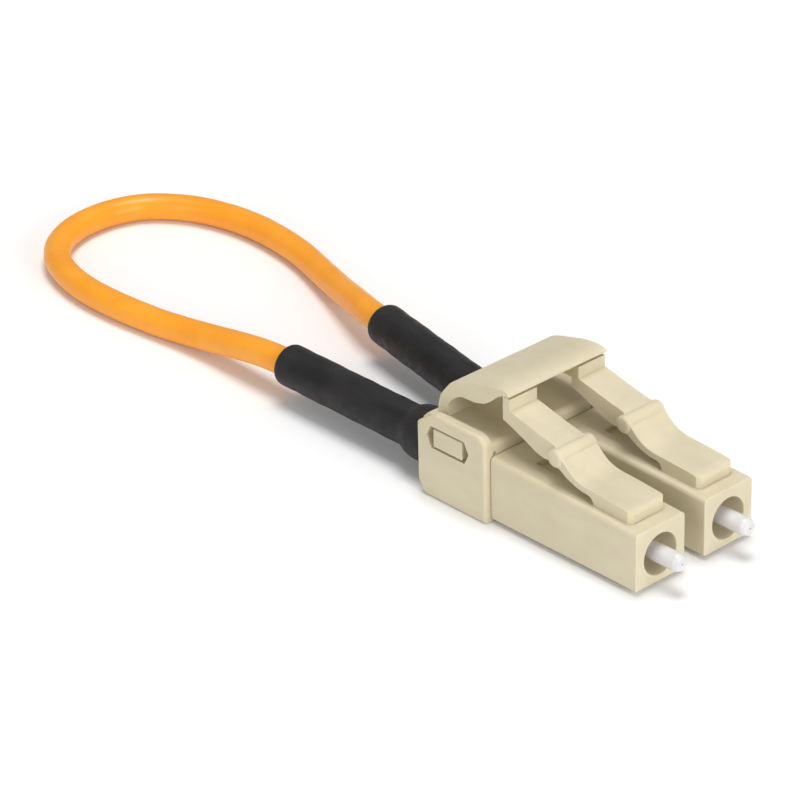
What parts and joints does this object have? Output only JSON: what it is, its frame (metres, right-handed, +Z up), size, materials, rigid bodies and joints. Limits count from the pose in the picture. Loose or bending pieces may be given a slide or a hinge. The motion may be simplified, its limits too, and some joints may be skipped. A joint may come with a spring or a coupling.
{
  "type": "fibre optic loopback plug",
  "caption": "Duplex fibre optic loopback plug: two latched ferrule connectors in a clip with a shared trigger, joined through bend boots by a short cable loop.",
  "frame": {"origin": "middle of the clip's flat bottom, which rests on a surface at z = 0", "axes": "+X across the pair to the right-hand connector, -Y towards the ferrule tips, +Z up through the latches"},
  "size_m": [0.0183, 0.0683, 0.0096],
  "materials": {
    "beige_plastic": "moulded engineering plastic, satin",
    "ceramic": "polished white zirconia ceramic",
    "holder_metal": "turned, nickel-plated",
    "spring_steel": "drawn stainless wire",
    "sleeve_metal": "drawn tube, satin",
    "fibre_buffer": "extruded tight buffer, satin",
    "boot_rubber": "moulded black elastomer, satin",
    "cable_orange": "extruded soft jacket, semi-gloss"
  },
  "bodies": {
    "connector_bodies": {"left_housing": "beige_plastic", "left_rear_body": "beige_plastic", "left_crimp_sleeve": "sleeve_metal", "left_fibre": "fibre_buffer", "left_boot": "boot_rubber", "left_spring": "spring_steel", "right_housing": "beige_plastic", "right_rear_body": "beige_plastic", "right_crimp_sleeve": "sleeve_metal", "right_fibre": "fibre_buffer", "right_boot": "boot_rubber", "right_spring": "spring_steel", "duplex_clip": "beige_plastic", "cable_jacket": "cable_orange"},
    "trigger": {"trigger": "beige_plastic"},
    "left_latch": {"left_latch": "beige_plastic"},
    "right_latch": {"right_latch": "beige_plastic"},
    "left_ferrule": {"left_ferrule": "ceramic", "left_ferrule_holder": "holder_metal"},
    "right_ferrule": {"right_ferrule": "ceramic", "right_ferrule_holder": "holder_metal"}
  },
  "joints": [
    {"name": "trigger_press", "type": "hinge", "parent": "connector_bodies", "child": "trigger", "pos_m": [0, 0.00204, 0.0059], "axis": [1, 0, 0], "range_deg": [0, 13], "stiffness_Nm_per_rad": 0.02, "springref_deg": -11.46},
    {"name": "left_latch_flex", "type": "hinge", "parent": "connector_bodies", "child": "left_latch", "pos_m": [-0.00313, -0.01142, 0.0054], "axis": [-1, 0, 0], "range_deg": [0, 12], "stiffness_Nm_per_rad": 0.02, "springref_deg": -5.73},
    {"name": "right_latch_flex", "type": "hinge", "parent": "connector_bodies", "child": "right_latch", "pos_m": [0.00313, -0.01142, 0.0054], "axis": [-1, 0, 0], "range_deg": [0, 12], "stiffness_Nm_per_rad": 0.02, "springref_deg": -5.73},
    {"name": "left_ferrule_slide", "type": "slide", "parent": "connector_bodies", "child": "left_ferrule", "axis": [0, 1, 0], "range_m": [0, 0.001], "stiffness_N_per_m": 1000, "springref_m": -0.0045, "deforming": ["left_spring"]},
    {"name": "right_ferrule_slide", "type": "slide", "parent": "connector_bodies", "child": "right_ferrule", "axis": [0, 1, 0], "range_m": [0, 0.001], "stiffness_N_per_m": 1000, "springref_m": -0.0045, "deforming": ["right_spring"]}
  ],
  "couplings": [
    {"joint": "left_latch_flex", "follows": "trigger_press", "ratio": 0.923},
    {"joint": "right_latch_flex", "follows": "trigger_press", "ratio": 0.923}
  ]
}
